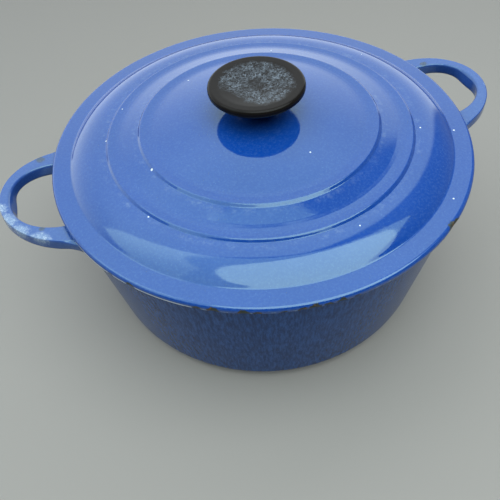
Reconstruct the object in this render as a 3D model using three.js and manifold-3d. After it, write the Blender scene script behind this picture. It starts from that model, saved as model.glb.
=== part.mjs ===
// A round cast iron dutch oven: an enamelled pot with two loop handles, a domed lid that lifts off,
// and a mushroom knob of black phenolic that a screw holds to the lid from below.
// Millimetres, +Z up. The origin is the centre of the base, and the handles lie along X.

import * as THREE from 'three';
import { mergeVertices } from 'three/addons/utils/BufferGeometryUtils.js';
import Module from 'manifold-3d';

const wasm = await Module();
wasm.setup();

// ---------- driving dimensions ----------

const GAP = 0.3;                  // between pieces that rest on each other
const OVERRUN = 5;                // how far a cutting body runs on past what it cuts

// Pot: the wall leans out from the base to the rim.
const POT_HEIGHT = 96;
const RIM_RADIUS = 116.8;         // outside, at the rim
const FOOT_RADIUS = 109.2;        // outside, where the wall's slope would meet the base
const FOOT_CORNER = 12;           // rounding between base and wall
const WALL = 4.2;
const FLOOR = 5;
const INNER_CORNER = 9;
const RECESS_RADIUS = 88;         // shallow recess inside the ring that the pot stands on
const RECESS_DEPTH = 0.8;
const RIM_ROUND = 1.4;

// Loop handles: a flat bar bent into a D, tilted up a little towards its tip.
const HANDLE_CENTRE = 108;        // centre of the outer curve, from the pot's axis
const HANDLE_REACH = 40.6;        // from that centre to the tip
const HANDLE_HALF_WIDTH = 37.8;
const HANDLE_SQUARENESS = 2;      // exponent of the outer curve: 2 is an ellipse, more is squarer
const LOOP_CENTRE = 117.6;        // the same for the finger hole
const LOOP_REACH = 25.6;
const LOOP_HALF_WIDTH = 25;
const LOOP_SQUARENESS = 2.1;
const FLARE_START = 119;          // where the handle's sides begin to spread towards the wall
const FLARE_WIDTH = 44;           // half the handle's width where it meets the wall
const FLARE_BOW = 1.5;            // how far the spread bows out from the wall
const HANDLE_ROOT_DEPTH = 8;      // how far inside the outer curve's centre the casting starts
const HANDLE_THICKNESS = 7.4;
const HANDLE_BEVEL = 1.6;
const HANDLE_ROOT_TOP = 95;       // height of the flat top at the wall
const HANDLE_ROOT_X = 116;
const HANDLE_TILT = 9 * Math.PI / 180;

// Lid: heights are above the underside of its flange, which rests on the pot's rim.
const LID_RADIUS = 120;
const FLANGE_THICKNESS = 3.8;
const FLANGE_TOP_ROUND = 2;
const FLANGE_FOOT_ROUND = 0.9;
const FOLD_RADIUS = 109.2;        // where the flat flange turns up into the shoulder
const LID_CENTRE_HEIGHT = 19.8;
const DISC_RADIUS = 61.5;         // domed disc inside the inner ring
const DISC_EDGE_HEIGHT = 13.7;
const INNER_RING = 67.3;          // crests of the two raised rings
const INNER_RING_HEIGHT = 14.35;
const OUTER_RING = 86.1;
const OUTER_RING_HEIGHT = 10.85;
const RING_FACE = 1.5;            // how far out the steep face of a ring runs
const RING_STEP = 1.35;           // how far down it drops
const RING_ROUND = 1.4;
const RING_FOOT_ROUND = 1;
const VALLEY_RADIUS = 81;         // lowest line between the two rings
const VALLEY_HEIGHT = 10.3;
const VALLEY_ROUND = 20;
const GUTTER_WIDTH = 0.8;         // flat strip at the outer ring's foot
const SHOULDER_CURL = 2.6;        // 1 is a straight cone; more turns down harder near the fold
const LID_THICKNESS = 3.8;
const SPIGOT_RADIUS = 111.2;      // ring under the lid that keeps it centred in the pot
const SPIGOT_WIDTH = 3.6;
const SPIGOT_DEPTH = 5;
const SPIGOT_DRAFT = 0.5;         // how much it widens towards its root, on each side
const SPIGOT_ROUND = 0.8;
const SPIGOT_FILLET = 2;
const SPIGOT_ROOT_HEIGHT = 0.4;
const BOSS_RADIUS = 10;           // thickened middle of the lid, drilled for the knob screw
const BOSS_DEPTH = 2.2;
const BOSS_BLEND = 2;             // width of the slope at its edge
const SCREW_HOLE_RADIUS = 3.1;

// Knob: heights are above its foot.
const KNOB_RADIUS = 26.6;
const KNOB_HEIGHT = 16.3;
const KNOB_DISH_RADIUS = 21.2;    // hollow in the top
const KNOB_DISH_DEPTH = 1.7;
const KNOB_LIP = 0.3;             // how far the rim stands above the hollow's edge
const KNOB_EDGE = 5;              // thickness of the rim
const KNOB_EDGE_ROUND = 1.8;
const KNOB_UNDERCUT = 1.6;        // how far inside the rim its underside starts
const KNOB_THROAT_RADIUS = 13.6;  // where the underside turns down into the neck
const KNOB_THROAT_DROP = 3.2;     // how far below the rim's foot that is
const KNOB_THROAT_ROUND = 8;
const KNOB_NECK_RADIUS = 8.6;
const KNOB_NECK_HEIGHT = 3.6;
const KNOB_NECK_ROUND = 5;
const KNOB_FOOT_RADIUS = 10.2;
const KNOB_FOOT_ROUND = 0.8;

// Fastening: M5 pan head screw, two washers and the threaded insert moulded into the knob.
const INSERT_RADIUS = 4;
const INSERT_LENGTH = 10.5;
const INSERT_BORE_RADIUS = 2.85;
const SHANK_RADIUS = 2.5;
const SHANK_LENGTH = 17.5;
const SHANK_CHAMFER = 0.8;
const HEAD_RADIUS = 5;
const HEAD_HEIGHT = 3.1;
const HEAD_FLAT_RADIUS = 3;       // flat end of the head, inside its sloping edge
const HEAD_SIDE_HEIGHT = 1.4;
const SLOT_WIDTH = 1.3;
const SLOT_DEPTH = 1.5;
const WASHER_BORE_RADIUS = 2.9;
const FLAT_WASHER_RADIUS = 8.5;
const FLAT_WASHER_THICKNESS = 1.1;
const LOCK_WASHER_RADIUS = 4.6;
const LOCK_WASHER_THICKNESS = 1.2;
const LOCK_WASHER_SPLIT = 14 * Math.PI / 180;

// Fineness of the surfaces.
const LARGE_SEGMENTS = 64;        // round the pot and the lid
const KNOB_SEGMENTS = 40;
const SMALL_SEGMENTS = 24;
const HANDLE_STEPS = 32;          // along a handle's outer curve
const LOOP_STEPS = 24;            // along its finger hole
const SHOULDER_STEPS = 7;
const ARC_STEP = 30 * Math.PI / 180;

// ---------- heights that follow from them ----------

const FLANGE_Z = POT_HEIGHT + GAP;
const LID_TOP_Z = FLANGE_Z + LID_CENTRE_HEIGHT;
const KNOB_Z = LID_TOP_Z + GAP;
const BOSS_Z = LID_TOP_Z - LID_THICKNESS - BOSS_DEPTH;
const FLAT_WASHER_Z = BOSS_Z - GAP - FLAT_WASHER_THICKNESS;
const LOCK_WASHER_Z = FLAT_WASHER_Z - GAP - LOCK_WASHER_THICKNESS;
const HEAD_TOP_Z = LOCK_WASHER_Z - GAP;

// ---------- finishes ----------

function finish(color, roughness, metalness = 0) {
  return new THREE.MeshStandardMaterial({ color, roughness, metalness });
}

const blueEnamel = () => finish(0x4169b4, 0.16);
const phenolic = () => finish(0x2a2725, 0.42);
const brass = () => finish(0xb08d4a, 0.38, 1);
const steel = () => finish(0x9a9b9c, 0.34, 1);

// ---------- profiles and solids ----------

// Points along a profile in the (radius, height) plane. A corner is [radius, height, rounding],
// and a rounding is a tangent arc between the two straight runs that meet there.
function profile(corners) {
  const at = ([x, y]) => new THREE.Vector2(x, y);
  return corners.flatMap((corner, i) => {
    const here = at(corner);
    const rounding = corner[2] ?? 0;
    if (rounding === 0) return [here];
    const back = at(corners[i - 1]).sub(here).normalize();
    const on = at(corners[i + 1]).sub(here).normalize();
    const half = Math.acos(THREE.MathUtils.clamp(back.dot(on), -1, 1)) / 2;
    const reach = rounding / Math.tan(half);
    const centre = back.clone().add(on).setLength(rounding / Math.sin(half)).add(here);
    const first = back.multiplyScalar(reach).add(here).sub(centre);
    const last = on.multiplyScalar(reach).add(here).sub(centre);
    const turn = Math.atan2(first.cross(last), first.dot(last));
    const steps = Math.max(1, Math.ceil(Math.abs(turn) / ARC_STEP));
    return Array.from({ length: steps + 1 }, (_, k) => {
      return first.clone().rotateAround(new THREE.Vector2(), turn * k / steps).add(centre);
    });
  });
}

// Points from the fold up to the outer ring. The shoulder leaves the ring level and turns down
// harder the nearer it comes to the fold.
function shoulder(foot, top) {
  return Array.from({ length: SHOULDER_STEPS + 1 }, (_, k) => {
    const t = 1 - k / SHOULDER_STEPS;
    return [top[0] + (foot[0] - top[0]) * t, top[1] - (top[1] - foot[1]) * t ** SHOULDER_CURL];
  });
}

// A closed body of revolution about Z. The profile runs anticlockwise, radius to the right.
function turned(corners, segments) {
  const geometry = new THREE.LatheGeometry(profile(corners), segments);
  geometry.rotateX(Math.PI / 2);
  return closed(geometry);
}

// Merges the seams of a geometry and drops the triangles that have no area.
function closed(geometry) {
  geometry.deleteAttribute('normal');
  geometry.deleteAttribute('uv');
  geometry.clearGroups();
  const merged = mergeVertices(geometry, 1e-4);
  const kept = [];
  for (let i = 0; i < merged.index.count; i += 3) {
    const [a, b, c] = [0, 1, 2].map((k) => merged.index.getX(i + k));
    if (a !== b && b !== c && c !== a) kept.push(a, b, c);
  }
  merged.setIndex(kept);
  return merged;
}

function toSolid(geometry) {
  return new wasm.Manifold(new wasm.Mesh({
    numProp: 3,
    vertProperties: new Float32Array(geometry.attributes.position.array),
    triVerts: new Uint32Array(geometry.index.array),
  }));
}

function toGeometry(solid) {
  const { numProp, vertProperties, triVerts } = solid.getMesh();
  const positions = new THREE.InterleavedBuffer(vertProperties, numProp);
  const geometry = new THREE.BufferGeometry();
  geometry.setAttribute('position', new THREE.InterleavedBufferAttribute(positions, 3, 0));
  geometry.setIndex(new THREE.BufferAttribute(triVerts, 1));
  return geometry;
}

// ---------- pot ----------

// How much farther out a level cut of the leaning wall is than its thickness.
const WALL_LEAN = Math.hypot(POT_HEIGHT, RIM_RADIUS - FOOT_RADIUS) / POT_HEIGHT;

function potOutside() {
  return turned([
    [0, RECESS_DEPTH],
    [RECESS_RADIUS, RECESS_DEPTH],
    [RECESS_RADIUS + RECESS_DEPTH, 0],
    [FOOT_RADIUS, 0, FOOT_CORNER],
    [RIM_RADIUS, POT_HEIGHT, RIM_ROUND],
    [0, POT_HEIGHT],
  ], LARGE_SEGMENTS);
}

// The room inside the pot, run on past the rim so that it cuts the rim open.
function potInside() {
  const level = WALL * WALL_LEAN;
  const floorRadius = FOOT_RADIUS - level + (RIM_RADIUS - FOOT_RADIUS) * FLOOR / POT_HEIGHT;
  const mouth = RIM_RADIUS - level;
  const eased = RIM_ROUND * (1 - Math.SQRT1_2);
  const above = POT_HEIGHT + OVERRUN;
  return turned([
    [0, FLOOR],
    [floorRadius, FLOOR, INNER_CORNER],
    [mouth, POT_HEIGHT - RIM_ROUND],
    [mouth + eased, POT_HEIGHT - eased],
    [mouth + RIM_ROUND, POT_HEIGHT],
    [mouth + RIM_ROUND, above],
    [0, above],
  ], LARGE_SEGMENTS);
}

// One quadrant-to-quadrant sweep of a superellipse about (centre, 0), from -Y round the tip to +Y.
function tipCurve(centre, reach, halfWidth, squareness, steps) {
  const power = (value) => Math.sign(value) * Math.abs(value) ** (2 / squareness);
  return Array.from({ length: steps + 1 }, (_, k) => {
    const angle = (k / steps - 0.5) * Math.PI;
    return new THREE.Vector2(
      centre + reach * power(Math.cos(angle)),
      halfWidth * power(Math.sin(angle)),
    );
  });
}

// A loop handle seen from above, with its finger hole, on the +X side of the pot.
function handleShape() {
  const insideWall = HANDLE_CENTRE - HANDLE_ROOT_DEPTH;
  const wallX = Math.sqrt(RIM_RADIUS ** 2 - FLARE_WIDTH ** 2);
  const bowX = wallX + FLARE_BOW;
  const outer = tipCurve(
    HANDLE_CENTRE, HANDLE_REACH, HANDLE_HALF_WIDTH, HANDLE_SQUARENESS, HANDLE_STEPS);
  const tip = outer.filter((point) => point.x > FLARE_START);
  const side = tip.at(-1).y;
  const shape = new THREE.Shape();
  shape.moveTo(insideWall, -FLARE_WIDTH);
  shape.lineTo(wallX, -FLARE_WIDTH);
  shape.quadraticCurveTo(bowX, -HANDLE_HALF_WIDTH, FLARE_START, -side);
  tip.forEach((point) => shape.lineTo(point.x, point.y));
  shape.quadraticCurveTo(bowX, HANDLE_HALF_WIDTH, wallX, FLARE_WIDTH);
  shape.lineTo(insideWall, FLARE_WIDTH);
  shape.closePath();
  const loop = tipCurve(LOOP_CENTRE, LOOP_REACH, LOOP_HALF_WIDTH, LOOP_SQUARENESS, LOOP_STEPS);
  const hole = [
    new THREE.Vector2(HANDLE_CENTRE, -LOOP_HALF_WIDTH),
    ...loop,
    new THREE.Vector2(HANDLE_CENTRE, LOOP_HALF_WIDTH),
  ];
  shape.holes.push(new THREE.Path(hole.reverse()));
  return shape;
}

function handle(side) {
  const geometry = new THREE.ExtrudeGeometry(handleShape(), {
    depth: HANDLE_THICKNESS - 2 * HANDLE_BEVEL,
    bevelThickness: HANDLE_BEVEL,
    bevelSize: HANDLE_BEVEL,
    bevelOffset: -HANDLE_BEVEL,
    bevelSegments: 2,
    curveSegments: 5,
  });
  geometry.translate(-HANDLE_ROOT_X, 0, HANDLE_BEVEL - HANDLE_THICKNESS);
  geometry.rotateY(-HANDLE_TILT);
  geometry.translate(HANDLE_ROOT_X, 0, HANDLE_ROOT_TOP);
  if (side < 0) geometry.rotateZ(Math.PI);
  return closed(geometry);
}

function potBody() {
  return toGeometry(toSolid(potOutside())
    .add(toSolid(handle(1)))
    .add(toSolid(handle(-1)))
    .subtract(toSolid(potInside())));
}

// ---------- lid ----------

// Height of the lid's domed middle disc at a radius.
function discHeight(radius) {
  return LID_CENTRE_HEIGHT - (LID_CENTRE_HEIGHT - DISC_EDGE_HEIGHT) * (radius / DISC_RADIUS) ** 2;
}

function lid() {
  const discRadii = [0.8, 0.6, 0.4, 0.22].map((share) => share * DISC_RADIUS);
  const shoulderFoot = [FOLD_RADIUS, FLANGE_THICKNESS];
  const shoulderTop = [OUTER_RING + RING_FACE + GUTTER_WIDTH, OUTER_RING_HEIGHT - RING_STEP];
  const underneath = (radius) => discHeight(radius) - LID_THICKNESS;
  const boss = LID_CENTRE_HEIGHT - LID_THICKNESS - BOSS_DEPTH;
  const spigotInside = SPIGOT_RADIUS - SPIGOT_WIDTH;
  const corners = [
    // underneath, from the screw hole out to the flange
    [SCREW_HOLE_RADIUS, boss],
    [BOSS_RADIUS, boss],
    [BOSS_RADIUS + BOSS_BLEND, underneath(BOSS_RADIUS + BOSS_BLEND)],
    [DISC_RADIUS * 0.45, underneath(DISC_RADIUS * 0.45)],
    [DISC_RADIUS * 0.75, underneath(DISC_RADIUS * 0.75)],
    [DISC_RADIUS, DISC_EDGE_HEIGHT - LID_THICKNESS],
    [VALLEY_RADIUS, VALLEY_HEIGHT - LID_THICKNESS],
    [shoulderTop[0], shoulderTop[1] - LID_THICKNESS],
    [spigotInside, SPIGOT_ROOT_HEIGHT, SPIGOT_FILLET],
    [spigotInside + SPIGOT_DRAFT, -SPIGOT_DEPTH, SPIGOT_ROUND],
    [SPIGOT_RADIUS, -SPIGOT_DEPTH, SPIGOT_ROUND],
    [SPIGOT_RADIUS + SPIGOT_DRAFT, 0],
    // flange, shoulder, rings and disc on top
    [LID_RADIUS, 0, FLANGE_FOOT_ROUND],
    [LID_RADIUS, FLANGE_THICKNESS, FLANGE_TOP_ROUND],
    ...shoulder(shoulderFoot, shoulderTop),
    [OUTER_RING + RING_FACE, OUTER_RING_HEIGHT - RING_STEP],
    [OUTER_RING, OUTER_RING_HEIGHT, RING_ROUND],
    [VALLEY_RADIUS, VALLEY_HEIGHT, VALLEY_ROUND],
    [INNER_RING + RING_FACE, INNER_RING_HEIGHT - RING_STEP, RING_FOOT_ROUND],
    [INNER_RING, INNER_RING_HEIGHT, RING_ROUND],
    [DISC_RADIUS, DISC_EDGE_HEIGHT, VALLEY_ROUND],
    ...discRadii.map((radius) => [radius, discHeight(radius)]),
    [SCREW_HOLE_RADIUS, discHeight(SCREW_HOLE_RADIUS)],
    [SCREW_HOLE_RADIUS, boss],
  ];
  return turned(corners, LARGE_SEGMENTS);
}

// ---------- knob and its fastening ----------

function knob() {
  const rimFoot = KNOB_HEIGHT - KNOB_EDGE;
  const socketRadius = INSERT_RADIUS + GAP;
  const socketDepth = INSERT_LENGTH + 2 * GAP;
  const dish = [1, 0.75, 0.5, 0.25, 0].map((share) => [
    KNOB_DISH_RADIUS * share,
    KNOB_HEIGHT - KNOB_LIP - KNOB_DISH_DEPTH * (1 - share ** 2),
  ]);
  return turned([
    [0, socketDepth],
    [socketRadius, socketDepth],
    [socketRadius, 0],
    [KNOB_FOOT_RADIUS, 0, KNOB_FOOT_ROUND],
    [KNOB_NECK_RADIUS, KNOB_NECK_HEIGHT, KNOB_NECK_ROUND],
    [KNOB_THROAT_RADIUS, rimFoot - KNOB_THROAT_DROP, KNOB_THROAT_ROUND],
    [KNOB_RADIUS - KNOB_UNDERCUT, rimFoot, KNOB_EDGE_ROUND],
    [KNOB_RADIUS, rimFoot + KNOB_EDGE_ROUND, KNOB_EDGE_ROUND],
    [KNOB_RADIUS - KNOB_LIP, KNOB_HEIGHT, KNOB_EDGE_ROUND],
    ...dish,
  ], KNOB_SEGMENTS);
}

function ring(innerRadius, outerRadius, height) {
  return turned([
    [innerRadius, 0],
    [outerRadius, 0],
    [outerRadius, height],
    [innerRadius, height],
    [innerRadius, 0],
  ], SMALL_SEGMENTS);
}

// The screw hangs head down: its shank starts at z = 0 and points up.
function knobScrew() {
  const body = toSolid(turned([
    [0, -HEAD_HEIGHT],
    [HEAD_FLAT_RADIUS, -HEAD_HEIGHT],
    [HEAD_RADIUS, -HEAD_SIDE_HEIGHT],
    [HEAD_RADIUS, 0],
    [SHANK_RADIUS, 0],
    [SHANK_RADIUS, SHANK_LENGTH - SHANK_CHAMFER],
    [SHANK_RADIUS - SHANK_CHAMFER, SHANK_LENGTH],
    [0, SHANK_LENGTH],
  ], SMALL_SEGMENTS));
  const slot = new THREE.BoxGeometry(2 * (HEAD_RADIUS + OVERRUN), SLOT_WIDTH, 2 * SLOT_DEPTH);
  slot.translate(0, 0, -HEAD_HEIGHT);
  return toGeometry(body.subtract(toSolid(closed(slot))));
}

// A spring washer: a ring with a narrow split.
function lockWasher() {
  const shape = new THREE.Shape();
  const end = 2 * Math.PI - LOCK_WASHER_SPLIT;
  shape.absarc(0, 0, LOCK_WASHER_RADIUS, 0, end, false);
  shape.absarc(0, 0, WASHER_BORE_RADIUS, end, 0, true);
  shape.closePath();
  const geometry = new THREE.ExtrudeGeometry(shape, {
    depth: LOCK_WASHER_THICKNESS,
    bevelEnabled: false,
    curveSegments: SMALL_SEGMENTS,
  });
  return closed(geometry);
}

// ---------- assembly ----------

function piece(name, geometry, material, z = 0) {
  const mesh = new THREE.Mesh(geometry, material);
  mesh.name = name;
  mesh.position.z = z;
  return mesh;
}

const lidAssembly = new THREE.Group();
lidAssembly.add(
  piece('lid', lid(), blueEnamel(), FLANGE_Z),
  piece('knob', knob(), phenolic(), KNOB_Z),
  piece('knob_insert', ring(INSERT_BORE_RADIUS, INSERT_RADIUS, INSERT_LENGTH), brass(), KNOB_Z + GAP),
  piece('knob_screw', knobScrew(), steel(), HEAD_TOP_Z),
  piece('lock_washer', lockWasher(), steel(), LOCK_WASHER_Z),
  piece(
    'flat_washer',
    ring(WASHER_BORE_RADIUS, FLAT_WASHER_RADIUS, FLAT_WASHER_THICKNESS),
    steel(),
    FLAT_WASHER_Z,
  ),
);

const dutchOven = new THREE.Group();
dutchOven.add(piece('pot_body', potBody(), blueEnamel()), lidAssembly);

export default dutchOven;
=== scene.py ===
"""The looks of a round enamelled cast iron dutch oven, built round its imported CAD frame.

Sizes are millimetres until a mesh or a light is made, and then metres. The two castings and the knob
are fine meshes that stand for their faceted CAD nodes, and every finish is procedural.
"""

import math

import bpy
import numpy as np
from mathutils import Matrix, Vector, noise


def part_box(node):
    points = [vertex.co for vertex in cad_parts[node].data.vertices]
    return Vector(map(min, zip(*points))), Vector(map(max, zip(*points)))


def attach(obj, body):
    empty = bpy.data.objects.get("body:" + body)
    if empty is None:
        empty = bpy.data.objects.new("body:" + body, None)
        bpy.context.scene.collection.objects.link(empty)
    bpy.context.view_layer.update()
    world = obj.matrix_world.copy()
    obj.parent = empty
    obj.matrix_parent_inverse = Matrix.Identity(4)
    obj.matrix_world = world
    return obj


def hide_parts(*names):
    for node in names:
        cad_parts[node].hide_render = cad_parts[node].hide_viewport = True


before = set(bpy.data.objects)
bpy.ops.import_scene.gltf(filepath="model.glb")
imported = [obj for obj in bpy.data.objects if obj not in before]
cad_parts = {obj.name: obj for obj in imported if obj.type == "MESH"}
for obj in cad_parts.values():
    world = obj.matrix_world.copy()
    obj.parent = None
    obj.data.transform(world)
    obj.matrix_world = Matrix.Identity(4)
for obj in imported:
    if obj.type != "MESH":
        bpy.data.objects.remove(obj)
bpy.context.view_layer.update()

MM = 0.001


def box_mm(node):
    """Lowest and highest corner of a CAD node, in millimetres."""
    low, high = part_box(node)
    return low / MM, high / MM


# ---------- sizes, in millimetres ----------

GAP = 0.3

# The flange of the lid rests on the pot's rim; its locating ring reaches down inside.
LID_LOW, LID_HIGH = box_mm("lid")
SPIGOT_DEPTH = 5
FLANGE_Z = LID_LOW.z + SPIGOT_DEPTH
LID_RADIUS = LID_HIGH.x - 0.03          # just inside the CAD lid
LID_CENTRE_HEIGHT = LID_HIGH.z - FLANGE_Z
POT_HEIGHT = FLANGE_Z - GAP

# Pot
RIM_RADIUS = 116.8
FOOT_RADIUS = 109.2
FOOT_CORNER = 12
WALL = 4.2
FLOOR = 5
INNER_CORNER = 9
RECESS_RADIUS = 88
RECESS_DEPTH = 0.8
RIM_ROUND = 1.4

# Handles
OUTER_CURVE = {"centre": 108, "reach": 40.6, "half_width": 37.8, "squareness": 2}
INNER_CURVE = {"centre": 117.6, "reach": 25.6, "half_width": 25, "squareness": 2.1}
HANDLE_THICKNESS = 7.4
HANDLE_ROOT_TOP = 95
HANDLE_ROOT_X = 116
HANDLE_TILT = math.radians(9)
SIDE_FILLET = 11
LOOP_FILLET = 4
TOP_FILLET = 0.4
FOOT_FILLET = 4
BAR_TOP_ROUND = 0.9
BAR_LOOP_ROUND = 1.5
BAR_FOOT_ROUND = 2.2
BAR_LEAN = 3.2               # how far the tip's inner face leans in towards its foot
BAR_ARC_STEPS = 6
BAR_STEPS = 130
FILLET_STEPS = 10
LEG_RUN = 18                 # straight run added at each end, to reach the wall
SUNK = 0.6                   # how far the ends of a handle reach into the wall
ROOT_BELOW_RIM = 0.1         # a handle follows the wall no nearer to the top of the rim than this
LEG_STEP = 0.2
LOOP_STEPS = 720

# Lid: heights are above the underside of the flange.
FLANGE_THICKNESS = 3.8
FLANGE_TOP_ROUND = 2
FLANGE_FOOT_ROUND = 0.9
FOLD_RADIUS = 109.2
FOLD_ROUND = 1.6
DISC_RADIUS = 61.5
DISC_EDGE_HEIGHT = 13.7
DISC_BLEND = 4               # the disc starts to turn up this far inside its edge
INNER_RING = 67.3
INNER_RING_HEIGHT = 14.35
OUTER_RING = 86.1
OUTER_RING_HEIGHT = 10.85
RING_FACE = 1.5
RING_STEP = 1.35
RING_ROUND = 1.4
RING_FOOT_ROUND = 1
VALLEY_RADIUS = 81
VALLEY_HEIGHT = 10.3
VALLEY_ROUND = 20
GUTTER_WIDTH = 0.8
SHOULDER_CURL = 2.6          # 1 is a straight cone, and more turns down harder near the fold
SHOULDER_STEPS = 40
FOLD_STEPS = 3               # steps of the shoulder that the rounding of the fold takes up
DISC_STEPS = 27
UNDERSIDE_STEPS = 17
UNDERSIDE_ROUND = 40
LID_THICKNESS = 3.8
SPIGOT_RADIUS = 111.2
SPIGOT_WIDTH = 3.6
SPIGOT_DRAFT = 0.5
SPIGOT_ROUND = 0.8
SPIGOT_FILLET = 2
SPIGOT_ROOT_HEIGHT = 0.4
BOSS_RADIUS = 10
BOSS_DEPTH = 2.2
BOSS_BLEND = 2
BOSS_ROUND = 0.8
GUTTER_ROUND = 0.3
FLANGE_ROOT_ROUND = 0.4
SCREW_HOLE_RADIUS = 3.1

# Knob: heights are above its foot.
KNOB_LOW, KNOB_HIGH = box_mm("knob")
KNOB_RADIUS = KNOB_HIGH.x
KNOB_HEIGHT = KNOB_HIGH.z - KNOB_LOW.z
KNOB_DISH_RADIUS = 21.2
KNOB_DISH_DEPTH = 1.7
KNOB_LIP = 0.3
KNOB_EDGE = 5
KNOB_EDGE_ROUND = 1.8
KNOB_UNDERCUT = 1.6
KNOB_THROAT_RADIUS = 13.6
KNOB_THROAT_DROP = 3.2
KNOB_THROAT_ROUND = 8
KNOB_NECK_RADIUS = 8.6
KNOB_NECK_HEIGHT = 3.6
KNOB_NECK_ROUND = 5
KNOB_FOOT_RADIUS = 10.2
KNOB_FOOT_ROUND = 0.8
KNOB_DISH_STEPS = 19
SOCKET_RADIUS = 4.3
SOCKET_ROUND = 0.4

# Fastening
INSERT_LOW, INSERT_HIGH = box_mm("knob_insert")
INSERT_BORE_RADIUS = 2.85
INSERT_CHAMFER = 0.5
INSERT_EDGE_ROUND = 0.3
INSERT_THREAD_DEPTH = 0.2
KNURL_RIDGES = 24
KNURL_DEPTH = 0.2
SCREW_LOW, SCREW_HIGH = box_mm("knob_screw")
HEAD_HEIGHT = 3.1
HEAD_ROUND = 1.6
SLOT_WIDTH = 1.3
SLOT_DEPTH = 1.5
SHANK_RADIUS = 2.5
SHANK_CHAMFER = 0.8
HEAD_EDGE = 0.15
DOME_STEPS = 13
THREAD_PITCH = 0.8
THREAD_DEPTH = 0.4
FLAT_LOW, FLAT_HIGH = box_mm("flat_washer")
LOCK_LOW, LOCK_HIGH = box_mm("lock_washer")
WASHER_BORE_RADIUS = 2.9
LOCK_WASHER_SPLIT = math.radians(14)
LOCK_THICKNESS = 0.95
LOCK_EDGE_ROUND = 0.15
FLAT_EDGE_ROUND = 0.2

# Unevenness of the castings: depth and size of its swells
POT_SWELL = (0.1, 26)
LID_SWELL = (0.12, 30)
CHIP_DEPTH = 0.55

# Fineness of the surfaces
ARC_STEP = math.radians(7)
LONGEST_RUN = 3
SUPPORT = 0.3
CASTING_SEGMENTS = 480
KNOB_SEGMENTS = 192
SMALL_SEGMENTS = 96
THREAD_FINENESS = 0.16
SLOT_ARC_STEPS = 16
WELD = 1e-5                  # points closer than this are one
AXIS = 1e-6                  # a radius below this is on the axis
ON_THREAD = 0.01             # a point this close to a thread's radius takes part in it

FLOOR_REACH = 9000


# ---------- outlines ----------

def unit(vector):
    return vector / np.linalg.norm(vector)


def rounded(corners):
    """Points of an outline in the (radius, height) plane. A corner is (radius, height, rounding),
    and a rounding is an arc tangent to the two straight runs that meet there."""
    points = []
    for i, corner in enumerate(corners):
        here = np.array(corner[:2], float)
        rounding = corner[2] if len(corner) > 2 else 0
        if rounding == 0:
            points.append(here)
            continue
        back = unit(np.array(corners[i - 1][:2]) - here)
        on = unit(np.array(corners[i + 1][:2]) - here)
        half = math.acos(back @ on) / 2
        centre = here + unit(back + on) * rounding / math.sin(half)
        first = here + back * rounding / math.tan(half) - centre
        turn = math.copysign(math.pi - 2 * half, on[0] * back[1] - on[1] * back[0])
        steps = max(2, math.ceil(abs(turn) / ARC_STEP))
        for k in range(steps + 1):
            angle = turn * k / steps
            c, s = math.cos(angle), math.sin(angle)
            points.append(centre + np.array([c * first[0] - s * first[1], s * first[0] + c * first[1]]))
    return np.array(points)


def divided(points, longest=LONGEST_RUN):
    """The same outline with its long runs split, and a point close to each of their ends so that
    the shading stays flat on them."""
    made = [points[0]]
    for a, b in zip(points, points[1:]):
        length = np.linalg.norm(b - a)
        shares = [1.0]
        if length > 4 * SUPPORT:
            end = SUPPORT / length
            count = math.ceil((length - 2 * SUPPORT) / longest)
            shares = [end + (1 - 2 * end) * k / count for k in range(count + 1)] + [1.0]
        made.extend(a + (b - a) * share for share in shares)
    return np.array(made)


def shoulder(foot, top):
    """The lid's shoulder from the fold up to the outer ring. It leaves the ring level and turns down
    harder the nearer it comes to the fold."""
    shares = np.linspace(1, 0, SHOULDER_STEPS + 1)
    run = foot[0] - top[0]
    drop = top[1] - foot[1]
    return [(top[0] + run * t, top[1] - drop * t ** SHOULDER_CURL) for t in shares]


def pot_outline():
    """Right round the section of the pot, from the axis under the floor to the axis above it."""
    level = WALL * math.hypot(POT_HEIGHT, RIM_RADIUS - FOOT_RADIUS) / POT_HEIGHT
    floor_radius = FOOT_RADIUS - level + (RIM_RADIUS - FOOT_RADIUS) * FLOOR / POT_HEIGHT
    return divided(rounded([
        (0, RECESS_DEPTH),
        (RECESS_RADIUS, RECESS_DEPTH, RECESS_DEPTH),
        (RECESS_RADIUS + RECESS_DEPTH, 0, RECESS_DEPTH / 2),
        (FOOT_RADIUS, 0, FOOT_CORNER),
        (RIM_RADIUS, POT_HEIGHT, RIM_ROUND),
        (RIM_RADIUS - level, POT_HEIGHT, RIM_ROUND),
        (floor_radius, FLOOR, INNER_CORNER),
        (0, FLOOR),
    ]))


def disc_height(radius):
    """Height of the lid's domed middle disc."""
    return LID_CENTRE_HEIGHT - (LID_CENTRE_HEIGHT - DISC_EDGE_HEIGHT) * (radius / DISC_RADIUS) ** 2


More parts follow.
